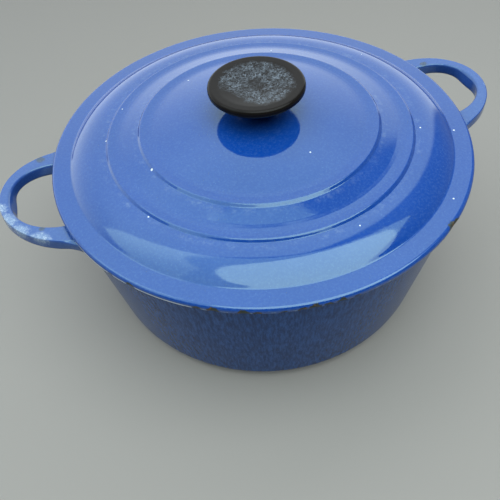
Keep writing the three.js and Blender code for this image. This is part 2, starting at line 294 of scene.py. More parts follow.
def lid_outline():
    """The section of the lid, anticlockwise from the screw hole and back to it."""
    foot = (FOLD_RADIUS, FLANGE_THICKNESS)
    top = (OUTER_RING + RING_FACE + GUTTER_WIDTH, OUTER_RING_HEIGHT - RING_STEP)
    slope = shoulder(foot, top)
    boss = LID_CENTRE_HEIGHT - LID_THICKNESS - BOSS_DEPTH
    spigot_inside = SPIGOT_RADIUS - SPIGOT_WIDTH
    disc = np.linspace(DISC_RADIUS - DISC_BLEND, SCREW_HOLE_RADIUS, DISC_STEPS + 1)
    under = np.linspace(BOSS_RADIUS + BOSS_BLEND, DISC_RADIUS, UNDERSIDE_STEPS + 1)
    return divided(rounded([
        (SCREW_HOLE_RADIUS, boss),
        (BOSS_RADIUS, boss, BOSS_ROUND),
        *((radius, disc_height(radius) - LID_THICKNESS) for radius in under),
        (VALLEY_RADIUS, VALLEY_HEIGHT - LID_THICKNESS, UNDERSIDE_ROUND),
        (top[0], top[1] - LID_THICKNESS, UNDERSIDE_ROUND),
        (spigot_inside, SPIGOT_ROOT_HEIGHT, SPIGOT_FILLET),
        (spigot_inside + SPIGOT_DRAFT, -SPIGOT_DEPTH, SPIGOT_ROUND),
        (SPIGOT_RADIUS, -SPIGOT_DEPTH, SPIGOT_ROUND),
        (SPIGOT_RADIUS + SPIGOT_DRAFT, 0, FLANGE_ROOT_ROUND),
        (LID_RADIUS, 0, FLANGE_FOOT_ROUND),
        (LID_RADIUS, FLANGE_THICKNESS, FLANGE_TOP_ROUND),
        (*foot, FOLD_ROUND),
        *slope[FOLD_STEPS:],
        (OUTER_RING + RING_FACE, OUTER_RING_HEIGHT - RING_STEP, GUTTER_ROUND),
        (OUTER_RING, OUTER_RING_HEIGHT, RING_ROUND),
        (VALLEY_RADIUS, VALLEY_HEIGHT, VALLEY_ROUND),
        (INNER_RING + RING_FACE, INNER_RING_HEIGHT - RING_STEP, RING_FOOT_ROUND),
        (INNER_RING, INNER_RING_HEIGHT, RING_ROUND),
        (DISC_RADIUS, DISC_EDGE_HEIGHT, VALLEY_ROUND),
        *((radius, disc_height(radius)) for radius in disc),
        (SCREW_HOLE_RADIUS, boss),
    ]))


def knob_outline():
    """The section of the knob, anticlockwise from the top of its socket."""
    rim_foot = KNOB_HEIGHT - KNOB_EDGE
    socket = INSERT_HIGH.z - KNOB_LOW.z + GAP
    dish = np.linspace(1, 0, KNOB_DISH_STEPS + 1)
    top = KNOB_HEIGHT - KNOB_LIP
    return divided(rounded([
        (0, socket),
        (SOCKET_RADIUS, socket),
        (SOCKET_RADIUS, 0, SOCKET_ROUND),
        (KNOB_FOOT_RADIUS, 0, KNOB_FOOT_ROUND),
        (KNOB_NECK_RADIUS, KNOB_NECK_HEIGHT, KNOB_NECK_ROUND),
        (KNOB_THROAT_RADIUS, rim_foot - KNOB_THROAT_DROP, KNOB_THROAT_ROUND),
        (KNOB_RADIUS - KNOB_UNDERCUT, rim_foot, KNOB_EDGE_ROUND),
        (KNOB_RADIUS, rim_foot + KNOB_EDGE_ROUND, KNOB_EDGE_ROUND),
        (KNOB_RADIUS - KNOB_LIP, KNOB_HEIGHT, KNOB_EDGE_ROUND),
        *((KNOB_DISH_RADIUS * s, top - KNOB_DISH_DEPTH * (1 - s ** 2)) for s in dish),
    ]))


# ---------- meshes ----------

def lathe(outline, segments):
    """Vertices and faces of an outline turned about Z. A point on the axis is one vertex, and an
    outline that ends where it starts closes on itself."""
    closed = np.allclose(outline[0], outline[-1])
    points = outline[:-1] if closed else outline
    angles = np.arange(segments) * math.tau / segments
    vertices, rings = [], []
    for radius, height in points:
        first = len(vertices)
        if radius < AXIS:
            vertices.append((0, 0, height))
            rings.append([first] * segments)
        else:
            vertices.extend((radius * math.cos(a), radius * math.sin(a), height) for a in angles)
            rings.append(range(first, first + segments))
    if closed:
        rings.append(rings[0])
    faces = []
    for low, high in zip(rings, rings[1:]):
        for k in range(segments):
            n = (k + 1) % segments
            face = list(dict.fromkeys((low[k], low[n], high[n], high[k])))
            if len(face) > 2:
                faces.append(face)
    return np.array(vertices), faces


def loft(rings):
    """Vertices and faces of a bar through closed rings of points, with a cap at each end."""
    count, size, _ = rings.shape
    vertices = list(rings.reshape(-1, 3))
    faces = []
    for i in range(count - 1):
        for j in range(size):
            n = (j + 1) % size
            a, b = i * size, (i + 1) * size
            faces.append([a + j, a + n, b + n, b + j])
    for ring, order in ((0, -1), (count - 1, 1)):
        middle = len(vertices)
        vertices.append(rings[ring].mean(axis=0))
        for j in range(size):
            pair = (ring * size + j, ring * size + (j + 1) % size)
            faces.append([middle, *pair[::order]])
    return np.array(vertices), faces


def joined(*parts):
    """Several (vertices, faces) as one."""
    vertices, faces = [], []
    for part_vertices, part_faces in parts:
        first = sum(len(v) for v in vertices)
        vertices.append(part_vertices)
        faces.extend([index + first for index in face] for face in part_faces)
    return np.concatenate(vertices), faces


def new_object(name, vertices, faces, material, smooth=True):
    """A mesh object from points in millimetres."""
    mesh = bpy.data.meshes.new(name)
    mesh.from_pydata([tuple(p) for p in np.asarray(vertices) * MM], [], faces)
    mesh.polygons.foreach_set("use_smooth", [smooth] * len(mesh.polygons))
    mesh.materials.append(material)
    made = bpy.data.objects.new(name, mesh)
    bpy.context.scene.collection.objects.link(made)
    return made


def arrays(mesh):
    """Positions in millimetres and normals of a mesh's vertices."""
    places = np.zeros(len(mesh.vertices) * 3)
    normals = np.zeros(len(mesh.vertices) * 3)
    mesh.vertices.foreach_get("co", places)
    mesh.vertices.foreach_get("normal", normals)
    return places.reshape(-1, 3) / MM, normals.reshape(-1, 3)


def cast_surface(piece, swell, seed):
    """Lets a surface wander inwards, as castings do. A swell is (greatest depth, size across)."""
    depth, size = swell
    places, normals = arrays(piece.data)
    shift = Vector((seed, seed, seed))
    rise = np.array([noise.noise(Vector(p) / size + shift) for p in places])
    places -= normals * (depth * (0.5 + 0.5 * np.clip(rise, -1, 1)))[:, None]
    piece.data.vertices.foreach_set("co", (places * MM).ravel())
    piece.data.update()


def polar(azimuth, radius, height):
    """The point at an azimuth in degrees, a radius and a height."""
    a = math.radians(azimuth)
    return np.array([radius * math.cos(a), radius * math.sin(a), height])


def chipped(piece, chips):
    """Breaks shallow dents into a surface. A chip is (azimuth in degrees, radius, height, size)."""
    places, normals = arrays(piece.data)
    for *spot, size in chips:
        off = np.linalg.norm(places - polar(*spot), axis=1) / size
        near = off < 1
        rough = [0.7 + 0.6 * noise.noise(Vector(p)) for p in places[near]]
        places[near] -= normals[near] * (CHIP_DEPTH * (1 - off[near] ** 2) * rough)[:, None]
    piece.data.vertices.foreach_set("co", (places * MM).ravel())
    piece.data.update()


# ---------- camera ----------

CAMERA_AZIMUTH = math.radians(-18.5)
CAMERA_ELEVATION = math.radians(39)
CAMERA_DISTANCE = 281.9
CAMERA_TURN = math.radians(1.82)
CAMERA_DIP = math.radians(-13.74)
CAMERA_ROLL = math.radians(-3.21)
CAMERA_CLIP = 0.01           # metres
LENS = 33.26
SENSOR = 36

# Level directions: away from where the camera stands, and to the right of that
FORWARD = Vector((-math.sin(CAMERA_AZIMUTH), math.cos(CAMERA_AZIMUTH), 0))
RIGHT = Vector((FORWARD.y, -FORWARD.x, 0))


def make_camera():
    """The camera stands over the front of the pot. It turns away from the lid's middle by a small
    angle to the side, a larger one down, and leans a little."""
    data = bpy.data.cameras.new("camera")
    data.lens = LENS
    data.sensor_width = SENSOR
    data.clip_start = CAMERA_CLIP
    camera = bpy.data.objects.new("camera", data)
    back = Vector((
        math.sin(CAMERA_AZIMUTH) * math.cos(CAMERA_ELEVATION),
        -math.cos(CAMERA_AZIMUTH) * math.cos(CAMERA_ELEVATION),
        math.sin(CAMERA_ELEVATION),
    ))
    look = (-back).to_track_quat("-Z", "Y").to_matrix()
    aim = (look @ Matrix.Rotation(CAMERA_TURN, 3, "Y") @ Matrix.Rotation(CAMERA_DIP, 3, "X")
           @ Matrix.Rotation(CAMERA_ROLL, 3, "Z"))
    lid_middle = Vector((0, 0, FLANGE_Z * MM))
    camera.matrix_world = Matrix.Translation(lid_middle + back * CAMERA_DISTANCE * MM) @ aim.to_4x4()
    bpy.context.scene.collection.objects.link(camera)
    bpy.context.scene.camera = camera


# ---------- procedural finishes ----------

class Nodes:
    """Shorthand for a tree of shader nodes."""

    def __init__(self, tree):
        self.nodes = tree.nodes
        self.links = tree.links

    def feed(self, socket, value):
        """Links one socket to another, or sets a plain value on it."""
        if isinstance(value, bpy.types.NodeSocket):
            self.links.new(value, socket)
        elif isinstance(value, (tuple, list)) and socket.type == "RGBA":
            socket.default_value = (*value, 1)
        else:
            socket.default_value = value

    def maths(self, operation, *values):
        node = self.nodes.new("ShaderNodeMath")
        node.operation = operation
        for socket, value in zip(node.inputs, values):
            self.feed(socket, value)
        return node.outputs[0]

    def vector_maths(self, operation, *values):
        node = self.nodes.new("ShaderNodeVectorMath")
        node.operation = operation
        for socket, value in zip(node.inputs, values):
            self.feed(socket, value)
        plain = operation in ("LENGTH", "DISTANCE", "DOT_PRODUCT")
        return node.outputs["Value" if plain else "Vector"]

    def ramp(self, value, low, high, start=0, end=1):
        """Start below low, end above high, and a smooth change between; low may be above high."""
        node = self.nodes.new("ShaderNodeMapRange")
        node.interpolation_type = "SMOOTHSTEP"
        self.feed(node.inputs["Value"], value)
        node.inputs["From Min"].default_value = low
        node.inputs["From Max"].default_value = high
        node.inputs["To Min"].default_value = start
        node.inputs["To Max"].default_value = end
        return node.outputs["Result"]

    def mixed(self, mask, a, b, kind="RGBA"):
        """One colour or number where the mask is 0, and another where it is 1."""
        node = self.nodes.new("ShaderNodeMix")
        node.data_type = kind
        first, result = {"RGBA": (6, 2), "FLOAT": (2, 0)}[kind]      # places of its sockets
        self.feed(node.inputs[0], mask)
        self.feed(node.inputs[first], a)
        self.feed(node.inputs[first + 1], b)
        return node.outputs[result]


class Finish(Nodes):
    """A material under construction. Covers are laid one over another, and heights add up."""

    def __init__(self, name, colour, roughness):
        self.material = bpy.data.materials.new(name)
        self.material.use_nodes = True
        super().__init__(self.material.node_tree)
        self.shader = self.nodes["Principled BSDF"]
        self.place = self.nodes.new("ShaderNodeTexCoord").outputs["Object"]
        self.colour = colour
        self.roughness = roughness
        self.height = None

    def scaled(self, place, size, stretch, seed):
        """A place measured in steps of size millimetres, which the stretch makes longer."""
        steps = tuple(1 / (size * MM * s) for s in stretch)
        return self.vector_maths("MULTIPLY_ADD", place, steps, (seed, seed, seed))

    def noise(self, size, detail=2, roughness=0.5, stretch=(1, 1, 1), seed=0, distortion=0):
        """Soft noise from 0 to 1, with blobs about size millimetres across."""
        node = self.nodes.new("ShaderNodeTexNoise")
        self.feed(node.inputs["Vector"], self.scaled(self.place, size, stretch, seed))
        node.inputs["Scale"].default_value = 1
        node.inputs["Detail"].default_value = detail
        node.inputs["Roughness"].default_value = roughness
        node.inputs["Distortion"].default_value = distortion
        return node.outputs["Fac"]

    def cells(self, size, seed):
        """Distance to the nearest of scattered points, which are about size millimetres apart."""
        node = self.nodes.new("ShaderNodeTexVoronoi")
        self.feed(node.inputs["Vector"], self.scaled(self.place, size, (1, 1, 1), seed))
        node.inputs["Scale"].default_value = 1
        return node.outputs["Distance"]

    def cover(self, mask, colour, roughness=None):
        """Lays another colour and roughness over what is there, where the mask is 1."""
        self.colour = self.mixed(mask, self.colour, colour)
        if roughness is not None:
            self.roughness = self.mixed(mask, self.roughness, roughness, "FLOAT")

    def raised(self, value, depth):
        """Adds a relief of depth millimetres times a value from 0 to 1."""
        metres = self.maths("MULTIPLY", value, depth * MM)
        self.height = metres if self.height is None else self.maths("ADD", self.height, metres)

    def height_here(self):
        """Height of the place on the object, in millimetres."""
        node = self.nodes.new("ShaderNodeSeparateXYZ")
        self.feed(node.inputs[0], self.place)
        return self.maths("DIVIDE", node.outputs["Z"], MM)

    def radius(self):
        """Distance from the Z axis, in millimetres."""
        flat = self.vector_maths("MULTIPLY", self.place, (1 / MM, 1 / MM, 0))
        return self.vector_maths("LENGTH", flat)

    def attribute(self, name):
        """A value that the mesh carries at its points."""
        node = self.nodes.new("ShaderNodeAttribute")
        node.attribute_name = name
        return node.outputs["Fac"]

    def spots(self, places, wobble, seed=0):
        """How far inside the nearest spot a point is: 1 at its middle, 0 at its edge. A place is
        (azimuth in degrees, radius, height, size), and the wobble makes the edges ragged."""
        nearest = None
        for *spot, size in places:
            off = self.vector_maths("DISTANCE", self.place, tuple(polar(*spot) * MM))
            share = self.maths("DIVIDE", off, size * MM)
            nearest = share if nearest is None else self.maths("MINIMUM", nearest, share)
        ragged = self.maths("MULTIPLY_ADD", self.noise(1.6, 3, 0.6, seed=seed), wobble, -wobble / 2)
        return self.maths("SUBTRACT", 1, self.maths("ADD", nearest, ragged))

    def scratches(self, size, turn, seed):
        """Fine wandering lines, about size millimetres apart, that run at an angle in degrees."""
        turned = self.nodes.new("ShaderNodeVectorRotate")
        turned.rotation_type = "Z_AXIS"
        self.feed(turned.inputs["Vector"], self.place)
        turned.inputs["Angle"].default_value = math.radians(turn)
        node = self.nodes.new("ShaderNodeTexNoise")
        self.feed(node.inputs["Vector"], self.scaled(turned.outputs[0], size, (5, 1, 1), seed))
        node.inputs["Scale"].default_value = 1
        node.inputs["Detail"].default_value = 1
        off = self.maths("ABSOLUTE", self.maths("SUBTRACT", node.outputs["Fac"], 0.5))
        return self.ramp(off, 0.02, 0)

    def share(self, mask, amount):
        """A mask made weaker, by a number or by another mask."""
        return self.maths("MULTIPLY", mask, amount)

    def band(self, value, low, high, soft):
        """1 where the value lies between low and high."""
        rises = self.ramp(value, low - soft, low + soft)
        return self.maths("MULTIPLY", rises, self.ramp(value, high + soft, high - soft))

    def done(self, metallic=0.0, gloss=(1, 1, 1), ior=1.5):
        """Links what was laid down to the shader and gives the material."""
        self.feed(self.shader.inputs["Base Color"], self.colour)
        self.feed(self.shader.inputs["Roughness"], self.roughness)
        self.shader.inputs["Metallic"].default_value = metallic
        self.shader.inputs["Specular Tint"].default_value = (*gloss, 1)
        self.feed(self.shader.inputs["IOR"], ior)
        if self.height is not None:
            bump = self.nodes.new("ShaderNodeBump")
            bump.inputs["Distance"].default_value = 1
            self.feed(bump.inputs["Height"], self.height)
            self.feed(self.shader.inputs["Normal"], bump.outputs[0])
        return self.material


# Colours are linear.
BLUE = (0.003, 0.041, 0.245)
DEEP_BLUE = (0.002, 0.034, 0.205)
PALE_BLUE = (0.05, 0.12, 0.32)
# Painted shade for the pot's wall, and pale streaks of painted reflection on it
WALL_PAINTED_SHADE = (0.004, 0.026, 0.105)
WALL_PAINTED_REFLECTION = (0.02, 0.075, 0.25)
# The enamel's specular tint is a painted reflection: it gives its reflections the blue of sky light.
PAINTED_SKY_GLOSS = (0.38, 0.53, 0.42)
ENAMEL_IOR = 2.0
WALL_IOR = 1.22
RESIDUE = (0.22, 0.30, 0.42)
SAND = (0.62, 0.52, 0.37)
BLACK_ENAMEL = (0.012, 0.012, 0.013)
RUST = (0.15, 0.058, 0.022)
IRON = (0.012, 0.010, 0.011)
GROUND_COAT = (0.10, 0.12, 0.16)
SPECK = (0.55, 0.6, 0.66)
PHENOLIC = (0.006, 0.005, 0.0045)
PHENOLIC_IOR = 1.2
WORN_PHENOLIC = (0.14, 0.17, 0.21)
BRASS = (0.56, 0.36, 0.13)
OLD_BRASS = (0.20, 0.11, 0.04)
STEEL = (0.46, 0.46, 0.47)
OLD_STEEL = (0.16, 0.13, 0.11)
OLD_WASHER = (0.2, 0.17, 0.14)
FLOOR_PAINT = (0.21, 0.2, 0.188)


def blue_enamel(name):
    """Glossy blue enamel: cloudy and finely mottled colour, dust, pin holes and an orange peel."""
    finish = Finish(name, None, 0.13)
    finish.colour = finish.mixed(finish.noise(38, 3), DEEP_BLUE, BLUE)
    mottle = finish.ramp(finish.noise(1.3, 3, 0.75, seed=11), 0.42, 0.72)
    finish.cover(finish.share(mottle, 0.24), PALE_BLUE)
    dust = finish.ramp(finish.cells(1.9, 14), 0.2, 0.08)
    dusty = finish.ramp(finish.noise(20, 3, 0.6, seed=15), 0.4, 0.65, 0.1, 0.5)
    finish.cover(finish.share(dust, dusty), PALE_BLUE, 0.3)
    finish.roughness = finish.ramp(finish.noise(24, 4, 0.65, seed=9), 0.35, 0.75, 0.045, 0.13)
    holes = finish.ramp(finish.cells(3.1, 3), 0.1, 0.04)
    clouds = finish.ramp(finish.noise(17, 2, seed=6), 0.45, 0.6)
    finish.cover(finish.share(finish.share(holes, clouds), 0.6), IRON, 0.5)
    finish.raised(finish.noise(9, 1, seed=2), 0.03)
    finish.raised(finish.noise(2.4, 2, seed=4), 0.006)
    finish.raised(finish.noise(0.7, 2, seed=8), 0.0012)
    return finish


# Chips in the lid's lower edge: azimuth in degrees and size in millimetres.
EDGE_CHIPS = (
    (214, 1.7), (220, 2.8), (236.5, 2.4), (240, 3.2), (246.5, 3.2), (249.5, 2.3), (255, 1.8),
    (259, 2.6), (261.5, 3.3), (264.5, 2.4), (267.5, 2.8), (271, 1.8), (287, 1.9), (301, 4.6),
    (303, 3.6), (331, 2.2), (12, 2.2), (48, 3), (133, 2.6),
)

CHIP_MARK_RISE = 0.3     # a chip's dark mark is centred this far above the lid's lower edge

# White specks in the lid's enamel: azimuth in degrees, radius and size in millimetres.
SPECKS = (
    (167, 87.5, 0.5), (195.5, 68.5, 0.8), (148, 84, 0.4), (288, 44, 0.45), (334, 90.5, 0.5),
    (337, 111, 0.55), (118, 58, 0.45), (281, 92, 0.4), (212, 88, 0.5), (63, 74, 0.45),
    (25, 97, 0.4), (309, 113.5, 0.5),
)

# Where the black enamel and the sand enamel start and end along an outline, in millimetres: on the
# lid they start inwards of its lower edge, which is 0, and on the pot's rim the crown is 0.
LID_BLACK_FROM = -0.9
LID_SAND_FROM = -9.4
POT_BLACK_INSIDE = 2.6
POT_BLACK_OUTSIDE = -2.2

# Where the residue lies outside each ring, from and to
RING_RESIDUE = (2, 5)

# The pale stretch of the lid's lower edge is a painted highlight: azimuth in degrees and size in
# millimetres
PAINTED_EDGE_HIGHLIGHT = (216, 48)


def surface_height(outline, radius):
    """Height of the upper side of an outline at a radius."""
    upper = outline[outline[:, 0].argmax():]
    return np.interp(radius, upper[::-1, 0], upper[::-1, 1])


def lid_finish(outline):
    """The lid: blue on top, with residue by the rings, chips in its edge, a painted highlight on part of
    its lower edge, and a sandy underside with a black band where it touches the pot."""
    finish = blue_enamel("lid_enamel")
    radius = finish.radius()
    girth_here = finish.attribute("girth")
    for ring in (INNER_RING, OUTER_RING):
        foot = finish.band(radius, ring + RING_RESIDUE[0], ring + RING_RESIDUE[1], 1.5)
        patches = finish.ramp(finish.noise(5, 5, 0.8, seed=ring), 0.46, 0.8)
        finish.cover(finish.share(finish.share(foot, patches), 0.3), RESIDUE, 0.3)
    specks = [(a, r, FLANGE_Z + surface_height(outline, r), size) for a, r, size in SPECKS]
    finish.cover(finish.ramp(finish.spots(specks, 0.5, seed=5), 0, 0.2), SPECK, 0.4)
    worn = finish.band(girth_here, 0, 1.3, 0.3)
    patches = finish.ramp(finish.noise(7, 4, 0.7, seed=31), 0.5, 0.62)
    finish.cover(finish.share(finish.share(worn, patches), 0.5), RESIDUE, 0.4)
    # A pale stretch of the worn band at the front left is a painted highlight.
    azimuth, size = PAINTED_EDGE_HIGHLIGHT
    stretch = finish.ramp(finish.spots([(azimuth, LID_RADIUS, FLANGE_Z, size)], 0.3), 0, 0.3)
    finish.cover(finish.share(finish.share(worn, stretch), 0.8), SPECK, 0.35)
    chips = [(a, LID_RADIUS, FLANGE_Z + CHIP_MARK_RISE, size) for a, size in EDGE_CHIPS]
    chipped_off = finish.spots(chips, 0.9, seed=7)
    finish.cover(finish.ramp(chipped_off, 0.0, 0.12), IRON, 0.6)
    rusty = finish.ramp(finish.noise(1.5, 3, 0.7, seed=13), 0.54, 0.64)
    finish.cover(finish.share(finish.ramp(chipped_off, 0.1, 0.3), rusty), RUST, 0.85)
    finish.cover(finish.ramp(girth_here, LID_BLACK_FROM + 0.2, LID_BLACK_FROM - 0.2), BLACK_ENAMEL, 0.45)
    finish.cover(finish.ramp(girth_here, LID_SAND_FROM + 0.2, LID_SAND_FROM - 0.2), SAND, 0.22)
    return finish.done(gloss=PAINTED_SKY_GLOSS, ior=ENAMEL_IOR)


# Marks on the handles: azimuth in degrees, radius, height and size in millimetres.
HANDLE_STAINS = ((11.5, 129.5, 97.5, 3), (166, 129, 97.5, 3.6), (-169, 130.5, 97.7, 2.2))
HANDLE_SCUFFS = (
    (186, 146, 99.5, 7), (190, 142, 99, 7), (182, 148, 100, 5), (194, 134, 98.5, 7), (355, 148, 100, 3),
)
# Inside this radius the wall takes its painted shade and streaks of painted reflection; beyond it the
# handles' colour starts.
HANDLE_ZONE = (117.5, 121)   # the wall's colour ends inside this radius, and the handles' starts


def pot_finish(name, ior):
    """The pot: blue outside, with painted shade on the wall and painted reflection streaked down it,
    sandy inside, with a black rim and a bare ground coat under the base. The wall and the handles differ
    in their gloss."""
    finish = blue_enamel(name)
    girth_here = finish.attribute("girth")
    # Painted shade: the wall is made darker than the lid's blue, with pale streaks of painted reflection
    # down it.
    wall = finish.ramp(finish.radius(), *HANDLE_ZONE[::-1])
    reflection_streaks = finish.ramp(finish.noise(1.5, 4, 0.8, stretch=(0.9, 0.9, 5), seed=21), 0.36, 0.66)
    finish.cover(wall, finish.mixed(reflection_streaks, WALL_PAINTED_SHADE, WALL_PAINTED_REFLECTION), 0.22)
    stains = finish.ramp(finish.spots(HANDLE_STAINS, 0.7, seed=3), 0, 0.5)
    finish.cover(finish.share(stains, 0.7), IRON, 0.35)
    finish.cover(finish.share(finish.ramp(finish.radius(), *HANDLE_ZONE), 0.07), RESIDUE, 0.3)
    scuffs = finish.ramp(finish.spots(HANDLE_SCUFFS, 0.9, seed=4), 0, 0.6)
    broken = finish.ramp(finish.noise(1.2, 5, 0.85, seed=33), 0.5, 0.62)
    finish.cover(finish.share(scuffs, 0.5), RESIDUE, 0.3)
    finish.cover(finish.share(finish.share(scuffs, broken), 0.5), SPECK, 0.5)
    foot = finish.ramp(finish.height_here(), 1.6, 0.6)
    ragged = finish.ramp(finish.noise(4, 4, 0.7, seed=41), 0.3, 0.5)
    finish.cover(finish.share(foot, ragged), GROUND_COAT, 0.55)
    finish.cover(finish.ramp(girth_here, -0.2, 0.2), SAND, 0.2)
    rim = finish.band(girth_here, POT_BLACK_OUTSIDE, POT_BLACK_INSIDE, 0.3)
    finish.cover(rim, BLACK_ENAMEL, 0.45)
    return finish.done(gloss=PAINTED_SKY_GLOSS, ior=ior)


# The knob's worn patch, in millimetres. Each pair says where it starts and where it is full: below
# the knob's top, inwards from the dish's edge, outwards from the middle, and across from the side
# that is bare.
WORN_BELOW_TOP = (3, 2.2)
WORN_INWARDS = (25, 22)
WORN_OUTWARDS = (2, 9)
WORN_ACROSS = (-13, -6)
SCRATCH_TURNS = (15, 62, 118, 155)     # degrees


def knob_finish():
    """Black phenolic, satin, with a scratched and greyed patch that fills the dish but for its
    middle and one side."""
    finish = Finish("phenolic", PHENOLIC, 0.4)
    finish.roughness = finish.ramp(finish.noise(6, 4, 0.7), 0.3, 0.7, 0.13, 0.24)
    radius = finish.radius()
    top = finish.ramp(finish.height_here(), *(KNOB_HIGH.z - drop for drop in WORN_BELOW_TOP))
    ragged = finish.share(finish.noise(7, 4, 0.7, seed=12), 8)
    dish = finish.share(top, finish.ramp(finish.maths("ADD", radius, ragged), *WORN_INWARDS))
    middle = finish.ramp(radius, *WORN_OUTWARDS, 0.3, 1)
    diagonal = finish.vector_maths("DOT_PRODUCT", finish.place, (1 / MM, 0.55 / MM, 0))
    ragged = finish.share(finish.noise(6, 3, seed=2), 12)
    side = finish.ramp(finish.maths("ADD", diagonal, ragged), *WORN_ACROSS)
    clouds = finish.ramp(finish.noise(6, 3, 0.6, seed=19), 0.38, 0.6, 0.45, 1)
    patch = finish.share(finish.share(finish.share(dish, middle), side), clouds)
    blotches = finish.ramp(finish.noise(2.4, 6, 0.9, seed=7, distortion=0.6), 0.5, 0.64)
    finish.cover(finish.share(finish.share(patch, blotches), 0.85), WORN_PHENOLIC, 0.55)
    for number, turn in enumerate(SCRATCH_TURNS):
        lines = finish.share(finish.scratches(1.6, turn, number * 7), patch)
        finish.cover(finish.share(lines, 0.7), WORN_PHENOLIC, 0.5)
    finish.raised(finish.noise(0.5, 2), 0.008)
    finish.raised(finish.noise(4, 2, seed=5), 0.02)
    return finish.done(ior=PHENOLIC_IOR)


def metal_finish(name, colour, roughness, age):
    """Bare metal with a brushed grain, darkened in patches by age."""
    finish = Finish(name, colour, roughness)
    spread = finish.ramp(finish.noise(2.5, 4, 0.7, seed=3), 0.4, 0.7)
    finish.cover(finish.share(spread, 0.6), age, roughness + 0.2)
    finish.raised(finish.noise(0.25, 3, stretch=(1, 1, 0.3)), 0.004)
    return finish.done(metallic=1.0)


# ---------- handles ----------

def superellipse(curve, angles):
    """Points of one of a handle's curves in plan, with the tip towards +X."""
    power = 2 / curve["squareness"]
    c, s = np.cos(angles), np.sin(angles)
    return np.stack([
        curve["centre"] + curve["reach"] * np.abs(c) ** power,
        curve["half_width"] * np.sign(s) * np.abs(s) ** power,
    ], axis=1)


def bar_section():
    """Round the section of a handle's bar. Each point is a share of the way from the inner curve to
    the outer one, a step on from there, a drop below the top, and which way the surface faces."""
    corners = (
        (1, 0, BAR_TOP_ROUND),
        (1, 1, BAR_FOOT_ROUND),
        (0, 1, BAR_FOOT_ROUND),
        (0, 0, BAR_LOOP_ROUND),
    )
    points = []
    for number, (outer, low, radius) in enumerate(corners):
        side = 1 if outer else -1
        level = -1 if low else 1
        arc = []
        for k in range(BAR_ARC_STEPS + 1):
            angle = math.pi / 2 * (1 - number - k / BAR_ARC_STEPS)
            across, up = math.cos(angle), math.sin(angle)
            step = -side * radius * (1 - abs(across))
            drop = HANDLE_THICKNESS * low + level * radius * (1 - abs(up))
            arc.append((outer, step, drop, across, up))
        flat = (outer, -side * (radius + SUPPORT), HANDLE_THICKNESS * low, 0, level)
        if side == level:
            points += [(0.5, 0, HANDLE_THICKNESS * low, 0, level), flat, *arc]
        else:
            points += [*arc, flat]
    return points


def wall_radius(height):
    """Outside radius of the pot at a height, with the rounding of its rim."""
    lean = FOOT_RADIUS + (RIM_RADIUS - FOOT_RADIUS) * height / POT_HEIGHT
    into_round = np.clip((height - POT_HEIGHT) / RIM_ROUND + 1, 0, 1)
    return lean - RIM_ROUND * (1 - np.sqrt(1 - into_round ** 2))


def handle_line(inner, outer, share, step, drop, across, up):
    """One line along a handle from wall to wall. Each end spreads along the wall in a fillet, and
    its last point is sunk into the wall."""
    between = outer - inner
    direction = between / np.linalg.norm(between, axis=1)[:, None]
    lean = BAR_LEAN * drop / HANDLE_THICKNESS * (1 - share) * direction[:, :1] ** 2
    plan = inner + between * share + direction * (step - lean)
    run = np.arange(LEG_RUN, 0, -LEG_STEP)[:, None] * [1, 0]
    plan = np.concatenate([plan[0] - run, plan, plan[-1] - run[::-1]])
    along = plan[:, 0] - HANDLE_ROOT_X
    line = np.stack([
        HANDLE_ROOT_X + along * math.cos(HANDLE_TILT) + drop * math.sin(HANDLE_TILT),
        plan[:, 1],
        HANDLE_ROOT_TOP + along * math.sin(HANDLE_TILT) - drop * math.cos(HANDLE_TILT),
    ], axis=1)
    sideways = across * (SIDE_FILLET if across > 0 else LOOP_FILLET)
    upwards = up * (TOP_FILLET if up > 0 else FOOT_FILLET)
    fillet = math.hypot(sideways, upwards)
    clear = np.hypot(line[:, 0], line[:, 1]) - wall_radius(line[:, 2])
    travel = np.concatenate([[0], np.cumsum(np.linalg.norm(np.diff(line, axis=0), axis=1))])
    middle = len(line) // 2

    def at(distance):
        return np.stack([np.interp(distance, travel, line[:, k]) for k in range(3)], axis=-1)

    start = np.interp(fillet, clear[:middle], travel[:middle])
    end = np.interp(-fillet, -clear[middle:], travel[middle:])
    bar = at(np.linspace(start, end, BAR_STEPS + 1))
    roots = []
    for half in (slice(None, middle), slice(None, middle - 1, -1)):
        depth = fillet * np.append(np.linspace(1, -1, FILLET_STEPS + 1)[1:], -1)
        foot = at(np.interp(depth, clear[half], travel[half]))
        spread = (fillet - depth) ** 2 / (4 * fillet)
        off = depth + spread
        spread[-1] += SUNK
        off[-1] -= SUNK
        height = foot[:, 2] + upwards / fillet * spread
        radius = wall_radius(np.minimum(height, POT_HEIGHT - ROOT_BELOW_RIM)) + off
        turn = np.arctan2(foot[:, 1], foot[:, 0])
        turn += np.sign(foot[:, 1]) * sideways / fillet * spread / radius
        roots.append(np.stack([radius * np.cos(turn), radius * np.sin(turn), height], axis=1))
    return np.concatenate([roots[0][::-1], bar, roots[1]])


def handle():
    """Vertices and faces of the handle on the +X side."""
    angles = np.linspace(-math.pi / 2, math.pi / 2, LOOP_STEPS + 1)
    inner = superellipse(INNER_CURVE, angles)
    outer = superellipse(OUTER_CURVE, angles)
    lines = [handle_line(inner, outer, *point) for point in bar_section()]
    return loft(np.stack(lines, axis=1))


# ---------- pieces ----------

def mirrored(part):
    """The same part turned half round about Z."""
    vertices, faces = part
    return vertices * [-1, -1, 1], faces


